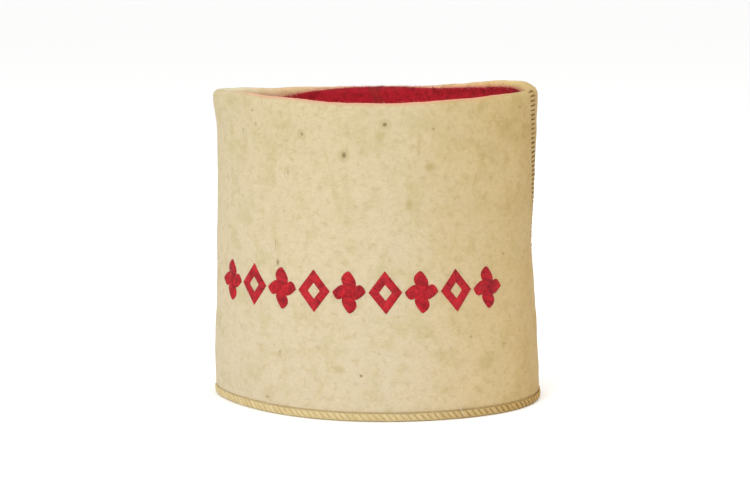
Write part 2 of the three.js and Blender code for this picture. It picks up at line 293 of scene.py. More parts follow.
# Shaders
def addNode(tree, kind, inputs=None, **settings):
    made = tree.nodes.new(kind)
    for name, value in settings.items():
        setattr(made, name, value)
    for name, value in (inputs or {}).items():
        if isinstance(value, bpy.types.NodeSocket):
            tree.links.new(value, made.inputs[name])
        else:
            made.inputs[name].default_value = value
    return made


def calc(tree, operation, *values):
    return addNode(tree, "ShaderNodeMath", dict(enumerate(values)), operation=operation).outputs[0]


def ramp(tree, value, low, high, to=(0.0, 1.0)):
    inputs = {"Value": value, "From Min": low, "From Max": high, "To Min": to[0], "To Max": to[1]}
    return addNode(tree, "ShaderNodeMapRange", inputs, interpolation_type="SMOOTHSTEP").outputs["Result"]


def mixColours(tree, factor, first, second, blend="MIX"):
    inputs = {0: factor, 6: first, 7: second}
    return addNode(tree, "ShaderNodeMix", inputs, data_type="RGBA", blend_type=blend).outputs[2]


def noiseAt(tree, vector, scale, detail=2.0, rough=0.5, distortion=0.0):
    inputs = {
        "Vector": vector, "Scale": scale, "Detail": detail, "Roughness": rough, "Distortion": distortion,
    }
    return addNode(tree, "ShaderNodeTexNoise", inputs).outputs[0]


def wobbleAt(tree, vector, scale, detail, size):
    centred = calc(tree, "SUBTRACT", noiseAt(tree, vector, scale, detail), 0.5)
    return calc(tree, "MULTIPLY", centred, size)


def vectorOf(tree, x=0.0, y=0.0, z=0.0):
    return addNode(tree, "ShaderNodeCombineXYZ", {"X": x, "Y": y, "Z": z}).outputs[0]


def splitVector(tree, vector):
    return addNode(tree, "ShaderNodeSeparateXYZ", {0: vector}).outputs


def shaderGroup(name, inputs, outputs):
    tree = bpy.data.node_groups.new(name, "ShaderNodeTree")
    for label, (kind, value) in inputs.items():
        socket = tree.interface.new_socket(label, in_out="INPUT", socket_type=kind)
        if value is not None:
            socket.default_value = value
    for label, kind in outputs.items():
        tree.interface.new_socket(label, in_out="OUTPUT", socket_type=kind)
    return tree, tree.nodes.new("NodeGroupInput").outputs, tree.nodes.new("NodeGroupOutput").inputs


def useGroup(tree, group, values):
    made = tree.nodes.new("ShaderNodeGroup")
    made.node_tree = group
    for name, value in values.items():
        if isinstance(value, bpy.types.NodeSocket):
            tree.links.new(value, made.inputs[name])
        else:
            made.inputs[name].default_value = value
    return made.outputs


def makeWoolFelt():
    # matted fibres that lie every way, thin and thick places, and slow blotches
    vector, number, colour = "NodeSocketVector", "NodeSocketFloat", "NodeSocketColor"
    tree, given, out = shaderGroup("woolFelt", {
        "Vector": (vector, None),
        "Colour": (colour, (0.5, 0.4, 0.3, 1.0)),
        "Thin Colour": (colour, (0.4, 0.3, 0.2, 1.0)),
        "Blotch Colour": (colour, (0.4, 0.35, 0.2, 1.0)),
        "Fibre Size": (number, 0.001),
        "Fibre Strength": (number, 0.5),
        "Thin Strength": (number, 0.5),
        "Blotch Strength": (number, 0.5),
    }, {"Colour": colour, "Height": number, "Roughness": number})
    perFibre = calc(tree, "DIVIDE", 1.0, given["Fibre Size"])
    drift = addNode(tree, "ShaderNodeTexNoise", {"Vector": given["Vector"], "Scale": 160.0, "Detail": 2.0})
    inputs = {0: drift.outputs["Color"], "Scale": 0.006}
    sway = addNode(tree, "ShaderNodeVectorMath", inputs, operation="SCALE")
    moved = addNode(tree, "ShaderNodeVectorMath", {0: given["Vector"], 1: sway.outputs[0]}, operation="ADD")
    bent = moved.outputs[0]
    level = addNode(tree, "ShaderNodeMapping", {"Vector": bent, "Scale": (0.3, 0.3, 1.0)}).outputs[0]
    slant = {"Vector": bent, "Rotation": (0.9, 0.5, 0.7), "Scale": (0.3, 1.0, 0.4)}
    leaning = addNode(tree, "ShaderNodeMapping", slant).outputs[0]
    levelFibres = noiseAt(tree, level, perFibre, 3.0, 0.6)
    leaningFibres = noiseAt(tree, leaning, perFibre, 3.0, 0.6)
    fibres = calc(tree, "MAXIMUM", levelFibres, leaningFibres)
    fine = noiseAt(tree, given["Vector"], calc(tree, "MULTIPLY", perFibre, 1.8), 3.0, 0.7)
    clumps = noiseAt(tree, given["Vector"], 210.0, 4.0, 0.62, 0.4)
    clouds = noiseAt(tree, given["Vector"], 62.0, 4.0, 0.6, 0.3)
    thin = calc(tree, "MULTIPLY", ramp(tree, clumps, 0.50, 0.70), given["Thin Strength"])
    blotch = calc(tree, "MULTIPLY", ramp(tree, clouds, 0.47, 0.68), given["Blotch Strength"])
    stained = mixColours(tree, blotch, given["Colour"], given["Blotch Colour"])
    stained = mixColours(tree, thin, stained, given["Thin Colour"])
    light = calc(tree, "ADD", calc(tree, "MULTIPLY", fibres, 0.6), calc(tree, "MULTIPLY", fine, 0.4))
    shade = mixColours(tree, 1.0, stained, ramp(tree, light, 0.36, 0.68, (0.80, 1.15)), "MULTIPLY")
    tree.links.new(mixColours(tree, given["Fibre Strength"], stained, shade), out["Colour"])
    height = calc(tree, "ADD", calc(tree, "MULTIPLY", light, 0.6), calc(tree, "MULTIPLY", clumps, 0.7))
    tree.links.new(height, out["Height"])
    tree.links.new(ramp(tree, fibres, 0.35, 0.75, (0.98, 0.88)), out["Roughness"])
    return tree


def makeAgeAndShadeTint():
    # a tint that darkens and yellows the colour in one direction, used both for yellowing with age and for
    # painted shade
    vector, number, colour = "NodeSocketVector", "NodeSocketFloat", "NodeSocketColor"
    tree, given, out = shaderGroup("ageAndShadeTint", {
        "Vector": (vector, None),
        "Colour": (colour, (0.5, 0.4, 0.3, 1.0)),
        "Tint": (colour, (1.0, 0.86, 0.62, 1.0)),
        "Direction": (vector, None),
        "Start": (number, 0.0),
        "End": (number, 0.09),
    }, {"Colour": colour})
    inputs = {0: given["Vector"], 1: given["Direction"]}
    reach = addNode(tree, "ShaderNodeVectorMath", inputs, operation="DOT_PRODUCT").outputs["Value"]
    cloudy = calc(tree, "ADD", reach, wobbleAt(tree, given["Vector"], 40.0, 3.0, 0.03))
    inputs = {"Value": cloudy, "From Min": given["Start"], "From Max": given["End"]}
    share = addNode(tree, "ShaderNodeMapRange", inputs).outputs["Result"]
    tinted = mixColours(tree, 1.0, given["Colour"], given["Tint"], "MULTIPLY")
    tree.links.new(mixColours(tree, share, given["Colour"], tinted), out["Colour"])
    return tree


def newMaterial(name, **values):
    material = bpy.data.materials.new(name)
    material.use_nodes = True
    tree = material.node_tree
    shader = tree.nodes["Principled BSDF"]
    for label, value in values.items():
        shader.inputs[label.replace("_", " ")].default_value = value
    return material, tree, shader, addNode(tree, "ShaderNodeTexCoord").outputs["Object"]


def addBump(tree, shader, height, distance, strength):
    bump = addNode(tree, "ShaderNodeBump", {"Height": height, "Distance": distance, "Strength": strength})
    tree.links.new(bump.outputs[0], shader.inputs["Normal"])


woolFelt = makeWoolFelt()
ageAndShadeTint = makeAgeAndShadeTint()

seamOverRoll = 0.0052  # how far the side seam is stitched past the start of the rim's roll

creamSettings = {
    "colour": (0.487, 0.411, 0.280, 1.0),
    "thin": (0.408, 0.330, 0.190, 1.0),
    "blotch": (0.438, 0.371, 0.220, 1.0),
    "agingAndShade": (
        # tint, direction, where it starts and where it is full
        # yellower and darker towards the right end: yellowing and painted shade
        ((0.98, 0.83, 0.54, 1.0), (1.0, 0.0, 0.0), 0.016, 0.106),
        # painted shade: darker on the last of the right end, where the felt turns away from the light
        ((0.92, 0.88, 0.80, 1.0), (1.0, 0.0, 0.0), 0.090, 0.108),
        # darker and yellower towards the top: painted shade and yellowing
        ((0.94, 0.93, 0.84, 1.0), (0.0, 0.0, 1.0), 0.030, 0.195),
    ),
    "speck": (0.110, 0.068, 0.026, 1.0),
    "stain": (0.300, 0.232, 0.075, 1.0),
    "mottleX": 0.086,
    "mottleZ": 0.168,
    "mottleReach": 0.052,
    "rubbedRed": (0.96, 0.76, 0.69, 1.0),  # red wool rubbed off on the cream felt turned in beside it
    "paintedLightInside": (1.28, 1.37, 1.42, 1.0),  # painted light: the turned-in wool at the rim is made lighter and less yellow where it lies in shade
    "pinkEdge": (0.740, 0.280, 0.210, 1.0),
    # painted shade in the gaps between the side seam's stitches
    "seamPaintedShade": (0.325, 0.205, 0.048, 1.0),
    # painted shade in a thin line along the top of the hem's stitches
    "hemPaintedShade": (0.360, 0.240, 0.070, 1.0),
    "seamReach": 0.0042,
    "seamFades": (0.136, 0.160),  # heights between which the gaps of the seam close up
    "hemLine": 0.0060,
}

# dark bits caught in the wool of the front
specks = (
    # x, z, half width, half height, strength
    (0.0105, 0.1884, 0.0012, 0.0011, 0.70),
    (-0.0150, 0.1692, 0.0012, 0.0015, 0.70),
    (-0.0420, 0.1815, 0.0008, 0.0009, 0.49),
    (-0.0762, 0.1945, 0.0009, 0.0008, 0.37),
    (-0.0833, 0.1812, 0.0005, 0.0014, 0.37),
    (-0.0739, 0.1858, 0.0010, 0.0012, 0.29),
    (0.0403, 0.1853, 0.0008, 0.0008, 0.37),
    (-0.0515, 0.1566, 0.0007, 0.0015, 0.29),
    (-0.0600, 0.1100, 0.0004, 0.0034, 0.33),
    (-0.0585, 0.0990, 0.0008, 0.0017, 0.57),
    (-0.0574, 0.0413, 0.0008, 0.0010, 0.33),
    (-0.0041, 0.0298, 0.0010, 0.0008, 0.66),
    (-0.0663, 0.0105, 0.0011, 0.0008, 0.41),
    (0.0842, 0.1031, 0.0008, 0.0010, 0.33),
    (0.0646, 0.0523, 0.0008, 0.0008, 0.37),
    (0.0854, 0.0457, 0.0008, 0.0008, 0.33),
    (0.0938, 0.1960, 0.0008, 0.0010, 0.29),
)

# softer brown and yellow marks on the front
stains = (
    # x, z, half width, half height, strength
    (0.0105, 0.1884, 0.0030, 0.0030, 0.30),
    (-0.0150, 0.1692, 0.0028, 0.0036, 0.38),
    (-0.0420, 0.1815, 0.0024, 0.0026, 0.20),
    (0.0382, 0.1616, 0.0024, 0.0022, 0.50),
    (0.0256, 0.1383, 0.0018, 0.0026, 0.45),
    (0.0074, 0.1812, 0.0024, 0.0026, 0.28),
    (0.0313, 0.1756, 0.0010, 0.0060, 0.30),
    (-0.0545, 0.1861, 0.0024, 0.0016, 0.20),
    (-0.0175, 0.0331, 0.0030, 0.0022, 0.32),
    (0.0752, 0.0344, 0.0034, 0.0040, 0.28),
    (0.0461, 0.0429, 0.0032, 0.0024, 0.20),
    (0.0843, 0.1823, 0.0050, 0.0060, 0.22),
    (0.0739, 0.1705, 0.0060, 0.0045, 0.20),
    (-0.0663, 0.0120, 0.0040, 0.0030, 0.22),
)


def addMarks(tree, place, colour, marks, markColour, soft):
    # each mark is a ragged spot at its place on the front
    axes = splitVector(tree, place)
    ragged = wobbleAt(tree, place, 900.0, 2.0, 1.1)
    darkest = None
    for x, z, wide, tall, strength in marks:
        across = calc(tree, "DIVIDE", calc(tree, "SUBTRACT", axes["X"], x), wide)
        up = calc(tree, "DIVIDE", calc(tree, "SUBTRACT", axes["Z"], z), tall)
        away = calc(tree, "ADD", calc(tree, "MULTIPLY", across, across), calc(tree, "MULTIPLY", up, up))
        mark = ramp(tree, calc(tree, "ADD", away, ragged), soft, 0.0, (0.0, strength))
        darkest = mark if darkest is None else calc(tree, "MAXIMUM", darkest, mark)
    onFront = ramp(tree, axes["Y"], 0.0, -0.01)
    return mixColours(tree, calc(tree, "MULTIPLY", darkest, onFront), colour, markColour)


def addMottle(tree, place, colour):
    # brown mottling that is strongest on the upper right of the front
    axes = splitVector(tree, place)
    across = calc(tree, "SUBTRACT", axes["X"], creamSettings["mottleX"])
    up = calc(tree, "SUBTRACT", axes["Z"], creamSettings["mottleZ"])
    inputs = {0: vectorOf(tree, across, 0.0, up)}
    away = addNode(tree, "ShaderNodeVectorMath", inputs, operation="LENGTH").outputs[1]
    there = ramp(tree, away, creamSettings["mottleReach"], 0.01, (0.10, 0.42))
    cloudy = ramp(tree, noiseAt(tree, place, 120.0, 4.0, 0.65, 0.6), 0.48, 0.72)
    return mixColours(tree, calc(tree, "MULTIPLY", there, cloudy), colour, creamSettings["stain"])


def makeCreamFelt():
    material, tree, shader, place = newMaterial(
        "creamFelt", Sheen_Weight=0.08, Sheen_Roughness=0.7, Specular_IOR_Level=0.08)
    felt = useGroup(tree, woolFelt, {
        "Vector": place,
        "Colour": creamSettings["colour"],
        "Thin Colour": creamSettings["thin"],
        "Blotch Colour": creamSettings["blotch"],
        "Fibre Size": 0.0011,
        "Fibre Strength": 0.42,
        "Thin Strength": 0.65,
        "Blotch Strength": 0.8,
    })
    colour = addMottle(tree, place, felt["Colour"])
    colour = addMarks(tree, place, colour, stains, creamSettings["stain"], 2.8)
    colour = addMarks(tree, place, colour, specks, creamSettings["speck"], 2.4)
    tiny = ramp(tree, noiseAt(tree, place, 420.0, 1.0, 0.5), 0.74, 0.82, (0.0, 0.35))
    colour = mixColours(tree, tiny, colour, creamSettings["stain"])
    # yellowing and painted shade, towards the right end and the top
    for tint, direction, start, end in creamSettings["agingAndShade"]:
        colour = useGroup(tree, ageAndShadeTint, {
            "Vector": place,
            "Colour": colour,
            "Tint": tint,
            "Direction": direction,
            "Start": start,
            "End": end,
        })["Colour"]
    # painted shade between the seam's stitches and along the top of the hem's, by length around and up the
    # felt
    onFelt = splitVector(tree, addNode(tree, "ShaderNodeUVMap", uv_map="felt").outputs[0])
    reach = creamSettings["seamReach"]
    inSeam = ramp(tree, calc(tree, "ABSOLUTE", onFelt["X"]), reach, reach * 0.75)
    stitched = ramp(tree, onFelt["Y"], onRollFrom + seamOverRoll, onRollFrom + seamOverRoll * 0.85)
    axes = splitVector(tree, place)
    pulled = ramp(tree, axes["Z"], *creamSettings["seamFades"], (0.05, 1.0))
    inSeam = calc(tree, "MULTIPLY", calc(tree, "MULTIPLY", inSeam, stitched), pulled)
    colour = mixColours(tree, inSeam, colour, creamSettings["seamPaintedShade"])
    # painted shade in a thin line along the top of the hem's stitches
    toHem = calc(tree, "ABSOLUTE", calc(tree, "SUBTRACT", onFelt["Y"], creamSettings["hemLine"]))
    ragged = calc(tree, "ADD", toHem, wobbleAt(tree, place, 500.0, 1.0, 0.0006))
    atHem = ramp(tree, ragged, 0.0006, 0.0001, (0.0, 0.75))
    colour = mixColours(tree, atHem, colour, creamSettings["hemPaintedShade"])
    # a little red on the roll and inside it, and painted light on the turned-in wool beside the crown, where
    # it lies in shade
    overRoll = ramp(tree, onFelt["Y"], onRollFrom + rollLength * 0.10, onRollFrom + rollLength * 0.42)
    notBack = ramp(tree, onFelt["Y"], hiddenAt - 1.0, hiddenAt - 2.0)
    besideRed = ramp(tree, calc(tree, "ABSOLUTE", axes["X"]), 0.100, 0.064)
    rubbed = calc(tree, "MULTIPLY", calc(tree, "MULTIPLY", overRoll, notBack), besideRed)
    reddened = mixColours(tree, 1.0, colour, creamSettings["rubbedRed"], "MULTIPLY")
    colour = mixColours(tree, rubbed, colour, reddened)
    litInside = calc(tree, "MULTIPLY", ramp(tree, onFelt["Y"], onRollFrom + 0.4, onTurnInFrom), notBack)
    litInside = calc(tree, "MULTIPLY", litInside, ramp(tree, axes["X"], 0.102, 0.086))
    paintedLightInside = mixColours(tree, 1.0, colour, creamSettings["paintedLightInside"], "MULTIPLY")
    colour = mixColours(tree, litInside, colour, paintedLightInside)
    toRed = calc(tree, "ABSOLUTE", calc(tree, "SUBTRACT", onFelt["Y"], onTurnInFrom))
    ragged = calc(tree, "ADD", toRed, wobbleAt(tree, place, 700.0, 2.0, 0.0016))
    pinkEdge = ramp(tree, ragged, 0.0020, 0.0002, (0.0, 0.8))
    colour = mixColours(tree, pinkEdge, colour, creamSettings["pinkEdge"])
    # the front of the rim is pinkish along its top
    topStart, topEnd = onRollFrom + rollLength * 0.26, onRollFrom + rollLength * 0.46
    onTop = ramp(tree, onFelt["Y"], topStart, topEnd, (0.0, 0.5))
    inFront = ramp(tree, axes["Y"], -0.02, -0.05)
    pinkTop = calc(tree, "MULTIPLY", calc(tree, "MULTIPLY", onTop, notBack), inFront)
    colour = mixColours(tree, pinkTop, colour, creamSettings["pinkEdge"])
    tree.links.new(colour, shader.inputs["Base Color"])
    tree.links.new(felt["Roughness"], shader.inputs["Roughness"])
    addBump(tree, shader, felt["Height"], 0.0006, 0.45)
    return material


redSettings = {
    "colour": (0.370, 0.010, 0.020, 1.0),
    "thin": (0.230, 0.008, 0.014, 1.0),
    "blotch": (0.420, 0.014, 0.025, 1.0),
    # painted shade in the crease
    "crease": (0.130, 0.022, 0.014, 1.0),
    "creaseX": -0.0048,
    "creaseZ": 0.1950,
    "creaseSlant": 0.45,
}


def makeRedFelt():
    material, tree, shader, place = newMaterial(
        "redFelt", Sheen_Weight=0.06, Sheen_Roughness=0.7, Specular_IOR_Level=0.05)
    felt = useGroup(tree, woolFelt, {
        "Vector": place,
        "Colour": redSettings["colour"],
        "Thin Colour": redSettings["thin"],
        "Blotch Colour": redSettings["blotch"],
        "Fibre Size": 0.0016,
        "Fibre Strength": 1.0,
        "Thin Strength": 1.0,
        "Blotch Strength": 0.8,
    })
    # painted shade: darker and browner along a crease in the middle of the rear, with a paler line through
    # it
    axes = splitVector(tree, place)
    above = calc(tree, "SUBTRACT", axes["Z"], redSettings["creaseZ"])
    lean = calc(tree, "MULTIPLY", above, redSettings["creaseSlant"])
    fromCrease = calc(tree, "ADD", calc(tree, "SUBTRACT", axes["X"], redSettings["creaseX"]), lean)
    ragged = wobbleAt(tree, place, 420.0, 3.0, 0.004)
    across = calc(tree, "ABSOLUTE", calc(tree, "ADD", fromCrease, ragged))
    onRear = calc(tree, "MULTIPLY", ramp(tree, axes["Y"], 0.02, 0.04), ramp(tree, axes["Z"], 0.180, 0.190))
    creaseShade = calc(tree, "MULTIPLY", ramp(tree, across, 0.0050, 0.0010, (0.0, 0.5)), onRear)
    colour = mixColours(tree, creaseShade, felt["Colour"], redSettings["crease"])
    line = calc(tree, "MULTIPLY", ramp(tree, across, 0.0009, 0.0002, (0.0, 0.45)), onRear)
    colour = mixColours(tree, line, colour, redSettings["blotch"])
    tree.links.new(colour, shader.inputs["Base Color"])
    tree.links.new(felt["Roughness"], shader.inputs["Roughness"])
    addBump(tree, shader, felt["Height"], 0.0008, 0.6)
    return material


threadSettings = {
    # light and deep tones, tone at the right end (yellowed, and darker as painted shade), sheen, gloss, ply
    # size, roughness
    "hemYarn": ((0.57, 0.470, 0.265), (0.49, 0.390, 0.195), (0.82, 0.66, 0.42), 0.05, 0.1, 0.0008, 0.8),
    # a darker copy of hemYarn: painted shade in the gaps between the hem's stitches
    "hemYarnPaintedShade": ((0.50, 0.385, 0.200), (0.42, 0.310, 0.150), (0.5, 0.38, 0.24), 0.0, 0.1, 0.0008, 0.85),
    "seamYarn": ((0.56, 0.440, 0.245), (0.47, 0.350, 0.180), (0.85, 0.75, 0.6), 0.05, 0.1, 0.0008, 0.8),
    "tailThread": ((0.66, 0.58, 0.42), (0.56, 0.47, 0.30), (1.0, 1.0, 1.0), 0.1, 0.2, 0.0008, 0.7),
    "embroideryThread": ((0.46, 0.012, 0.02), (0.17, 0.004, 0.009), (1.0, 1.0, 1.0), 0.0, 0.18, 0.0007, 0.5),
}


def makeThread(name):
    # spun thread, where each strand has its own tone and its plies catch the light
    light, deep, yellowedAndShaded, sheen, gloss, ply, roughness = threadSettings[name]
    material, tree, shader, place = newMaterial(
        name, Sheen_Weight=sheen, Sheen_Roughness=0.4, Specular_IOR_Level=gloss, Roughness=roughness)
    strand = addNode(tree, "ShaderNodeAttribute", attribute_name="strandTone").outputs["Fac"]
    plies = noiseAt(tree, place, 1.0 / ply, 2.0, 0.6, 0.5)
    # painted light and shade in patches about 4 mm across, standing in for the sheen and the shaded sides of
    # the stitches
    lightAndShadePatches = noiseAt(tree, place, 230.0, 2.0, 0.5)
    tone = calc(tree, "ADD", calc(tree, "MULTIPLY", strand, 0.3), calc(tree, "MULTIPLY", plies, 0.35))
    tone = calc(tree, "ADD", tone, calc(tree, "MULTIPLY", lightAndShadePatches, 0.6))
    colour = mixColours(tree, ramp(tree, tone, 0.35, 0.85), (*deep, 1.0), (*light, 1.0))
    # yellower and darker towards the right end: yellowing and painted shade
    colour = useGroup(tree, ageAndShadeTint, {
        "Vector": place,
        "Colour": colour,
        "Tint": (*yellowedAndShaded, 1.0),
        "Direction": (1.0, 0.0, 0.0),
        "Start": 0.016,
        "End": 0.106,
    })["Colour"]
    tree.links.new(colour, shader.inputs["Base Color"])
    addBump(tree, shader, plies, 0.0002, 0.5)
    return material


creamFelt = makeCreamFelt()
redFelt = makeRedFelt()
hemYarn = makeThread("hemYarn")
hemYarnPaintedShade = makeThread("hemYarnPaintedShade")
seamYarn = makeThread("seamYarn")
tailThread = makeThread("tailThread")
embroideryThread = makeThread("embroideryThread")
print("materials made")

# the felt band
bandSettings = {
    "columns": 300,
    "seamColumns": 24,
    "seamZone": 0.0072,  # half the width of the finer columns at the seam
    "wallRows": 100,
    "rollRows": 12,
    "turnInRows": 6,
    "backRows": 40,
    "lump": 0.00035,
    "lumpSize": 0.019,
    "dent": 0.00012,
    "dentSize": 0.006,
    "seamDeep": 0.0010,
    "seamWide": 0.0030,
    "seamLeast": 0.4,  # share of seamDeep that is left low on the seam, where its gaps close up
}
hemLevels = (hat["hemLift"], 0.0030, 0.0046, hat["hemHeight"], 0.0057, 0.0062, 0.0070)


def bandColumns(height):
    # turns that are closer together near the seam, and their lengths from it
    loop = BandLoop(height, 0.0)
    zone = bandSettings["seamZone"]
    near = np.linspace(-zone, zone, bandSettings["seamColumns"] + 1)
    rest = np.linspace(zone, loop.around - zone, bandSettings["columns"] + 1)[1:-1]
    fromSeam = np.concatenate([near, rest])
    return loop.turnAt(fromSeam - seamOffsetAt(height)), np.append(fromSeam, loop.around - zone)


def backPoints(turns, lengths, seed):
    thickness = hat["felt"] - 2 * squeezeAt(lengths)
    points = feltFace(turns, lengths)
    thickness = thickness + bandSettings["dent"] * unevenness(points, bandSettings["dentSize"], seed)
    return points - outOf(feltFace, turns, lengths) * thickness[:, None]


def makeBand():
    shown, acrossUv, upUv, back = [], [], [], []
    firstRoll = float(rollStartAt(np.array(0.0)))

    def addRow(turns, fromSeam, lengths, up=None, loose=1.0):
        points = feltFace(turns, lengths)
        rise = bandSettings["lump"] * unevenness(points, bandSettings["lumpSize"], 1)
        rise += bandSettings["dent"] * unevenness(points, bandSettings["dentSize"], 2)
        least, held = bandSettings["seamLeast"], smoothStep(points[:, 2], *creamSettings["seamFades"])
        deep = bandSettings["seamDeep"] * (least + (1 - least) * held)
        rise -= deep * np.exp(-(fromSeam[:-1] / bandSettings["seamWide"]) ** 2)
        rise *= smoothStep(lengths, hat["hemHeight"], hat["hemRelease"]) * loose
        shown.append(points + outOf(feltFace, turns, lengths) * rise[:, None])
        acrossUv.append(fromSeam)
        upUv.append(lengths if up is None else up)

    for height in hemLevels:
        turns, fromSeam = bandColumns(height)
        addRow(turns, fromSeam, np.full(len(turns), height))
    for share in np.linspace(0, 1, bandSettings["wallRows"]):
        turns, fromSeam = bandColumns(hat["hemRelease"] + (firstRoll - hat["hemRelease"]) * share)
        addRow(turns, fromSeam, hat["hemRelease"] + (rollStartAt(turns) - hat["hemRelease"]) * share)
    rollStart, turnIn = rollStartAt(turns), rimAt(turns)[1]
    for share in np.linspace(0, 0.5, bandSettings["rollRows"] + 1)[1:]:
        onRoll = rollLength * share
        addRow(turns, fromSeam, rollStart + onRoll, np.full(len(turns), onRollFrom + onRoll))
    for share in np.linspace(0, 1, bandSettings["turnInRows"] + 1)[1:]:
        lengths = rollStart + rollLength / 2 + turnIn * share
        addRow(turns, fromSeam, lengths, onTurnInFrom + turnIn * (1 - share), 1 - share)

    for share in np.linspace(0, 1, bandSettings["backRows"]):
        behind = bandColumns(hat["hemLift"] + (firstRoll - hat["hemLift"]) * share)[0]
        back.append(backPoints(behind, hat["hemLift"] + (rollStartAt(behind) - hat["hemLift"]) * share, 3))
    for share in np.linspace(0, 1, 9)[1:]:
        back.append(backPoints(turns, rollStart + (rollLength / 2 + turnIn) * share, 3))
    return ringShell("feltBand", np.array(shown), np.array(back), uv=(acrossUv, upUv))


feltBand = addObject("feltBand", makeBand(), creamFelt)
print("band made", len(feltBand.data.polygons))

# the red crown
crownSettings = {
    "columns": 260,
    "sideRows": 10,
    "dishRows": 34,
    "seamGap": 0.00008,
    "lump": 0.0007,
    "lumpSize": 0.022,
    "dent": 0.0002,
    "dentSize": 0.006,
    "creaseDeep": 0.0005,
    "creaseWide": 0.0030,
}


def makeCrown():
    turns = np.linspace(0, fullTurn, crownSettings["columns"], endpoint=False)
    rollStart, turnIn = rollStartAt(turns), rimAt(turns)[1]
    edge = rollStart + rollLength / 2 + turnIn + crownSettings["seamGap"]
    foot = rollStart + rollLength + hat["crownSide"]
    rows = []
    for share in np.linspace(0, 1, crownSettings["sideRows"], endpoint=False):
        lengths = edge + (foot - edge) * share
        rows.append((feltFace(turns, lengths), outOf(feltFace, turns, lengths), min(1, share * 4)))
    for share in np.linspace(0, 0.98, crownSettings["dishRows"]):
        shares = np.full(len(turns), share)
        rows.append((dishFace(turns, shares), outOf(dishFace, turns, shares), 1))
    shown, back = [], []
    for points, out, loose in rows:
        rise = crownSettings["lump"] * unevenness(points, crownSettings["lumpSize"], 4)
        rise += crownSettings["dent"] * unevenness(points, crownSettings["dentSize"], 5)
        lean = redSettings["creaseSlant"] * (points[:, 2] - redSettings["creaseZ"])
        fromCrease = points[:, 0] - redSettings["creaseX"] + lean
        crease = np.exp(-(fromCrease / crownSettings["creaseWide"]) ** 2) * (points[:, 1] > 0.03)
        crease *= smoothStep(points[:, 2], 0.178, 0.190)
        rise -= crownSettings["creaseDeep"] * crease
        shown.append(points + out * (rise * loose)[:, None])
        back.append(points - out * hat["crownFelt"])
    middle = np.mean(shown[-1], axis=0)
    poles = [middle, middle - [0, 0, hat["crownFelt"]]]
    return ringShell("feltCrown", np.array(shown), np.array(back), poles=poles)


feltCrown = addObject("feltCrown", makeCrown(), redFelt)
print("crown made", len(feltCrown.data.polygons))


# Geometry Nodes
def geometryTree(name, sizes):
    tree = bpy.data.node_groups.new(name, "GeometryNodeTree")
    tree.is_modifier = True
    tree.interface.new_socket("Geometry", in_out="INPUT", socket_type="NodeSocketGeometry")
    kinds = {
        int: "NodeSocketInt",
        float: "NodeSocketFloat",
        tuple: "NodeSocketVector",
        type(None): "NodeSocketMaterial",
    }
    for label, value in sizes.items():
        socket = tree.interface.new_socket(label, in_out="INPUT", socket_type=kinds[type(value)])
        if value is not None:
            socket.default_value = value
    tree.interface.new_socket("Geometry", in_out="OUTPUT", socket_type="NodeSocketGeometry")
    return tree, tree.nodes.new("NodeGroupInput").outputs, tree.nodes.new("NodeGroupOutput").inputs


def growMesh(carrier, tree, values):
    # runs a tree on a carrier and gives its result as a plain mesh
    modifier = carrier.modifiers.new(tree.name, "NODES")
    modifier.node_group = tree
    for item in tree.interface.items_tree:
        if item.in_out == "INPUT" and item.name in values:
            modifier[item.identifier] = values[item.name]
    bpy.context.view_layer.update()
    evaluated = carrier.evaluated_get(bpy.context.evaluated_depsgraph_get())
    mesh = bpy.data.meshes.new_from_object(evaluated)
    carrier.modifiers.remove(modifier)
    return mesh


def pathCarrier(name, points, along, facing, closed):
    count = len(points)
    edges = [(i, (i + 1) % count) for i in range(count if closed else count - 1)]
    mesh = bpy.data.meshes.new(name)
    mesh.from_pydata(points.tolist(), edges, [])
    for label, vectors in (("along", along), ("facing", facing)):
        layer = mesh.attributes.new(label, "FLOAT_VECTOR", "POINT")
        layer.data.foreach_set("vector", vectors.astype(np.float32).ravel())
    return addObject(name, mesh)


def namedValue(tree, name, kind):
    return addNode(tree, "GeometryNodeInputNamedAttribute", {"Name": name}, data_type=kind).outputs[0]


def randomNumber(tree, low, high, seed, **inputs):
    values = {2: low, 3: high, "Seed": seed, **inputs}
    return addNode(tree, "FunctionNodeRandomValue", values, data_type="FLOAT").outputs[1]


def randomVector(tree, most, seed):
    least = calc(tree, "MULTIPLY", most, -1.0)
    low, high = vectorOf(tree, least, least, least), vectorOf(tree, most, most, most)
    values = {"Min": low, "Max": high, "Seed": seed}
    return addNode(tree, "FunctionNodeRandomValue", values, data_type="FLOAT_VECTOR").outputs[0]


def turnBy(tree, rotation, angles):
    lean = addNode(tree, "FunctionNodeEulerToRotation", {0: angles}).outputs[0]
    inputs = {"Rotation": rotation, "Rotate By": lean}
    return addNode(tree, "FunctionNodeRotateRotation", inputs, rotation_space="LOCAL").outputs[0]


def roundThread(tree, line, radius, sides):
    size = {"Resolution": sides, "Radius": radius}
    ring = addNode(tree, "GeometryNodeCurvePrimitiveCircle", size).outputs[0]
    values = {"Curve": line, "Profile Curve": ring, "Fill Caps": True}
    return addNode(tree, "GeometryNodeCurveToMesh", values).outputs[0]


def finishThreads(tree, geometry, given, out):
    # real geometry, a tone of its own for each thread, smooth shading and the material
    whole = addNode(tree, "GeometryNodeRealizeInstances", {"Geometry": geometry}).outputs[0]
    thread = addNode(tree, "GeometryNodeInputMeshIsland").outputs[0]
    tone = randomNumber(tree, 0.0, 1.0, given["Seed"], ID=thread)
    values = {"Geometry": whole, "Name": "strandTone", "Value": tone}
    toned = addNode(tree, "GeometryNodeStoreNamedAttribute", values, data_type="FLOAT", domain="POINT")
    smooth = addNode(tree, "GeometryNodeSetShadeSmooth", {"Geometry": toned.outputs[0]}).outputs[0]
    dressed = addNode(tree, "GeometryNodeSetMaterial", {"Geometry": smooth, "Material": given["Material"]})
    tree.links.new(dressed.outputs[0], out[0])


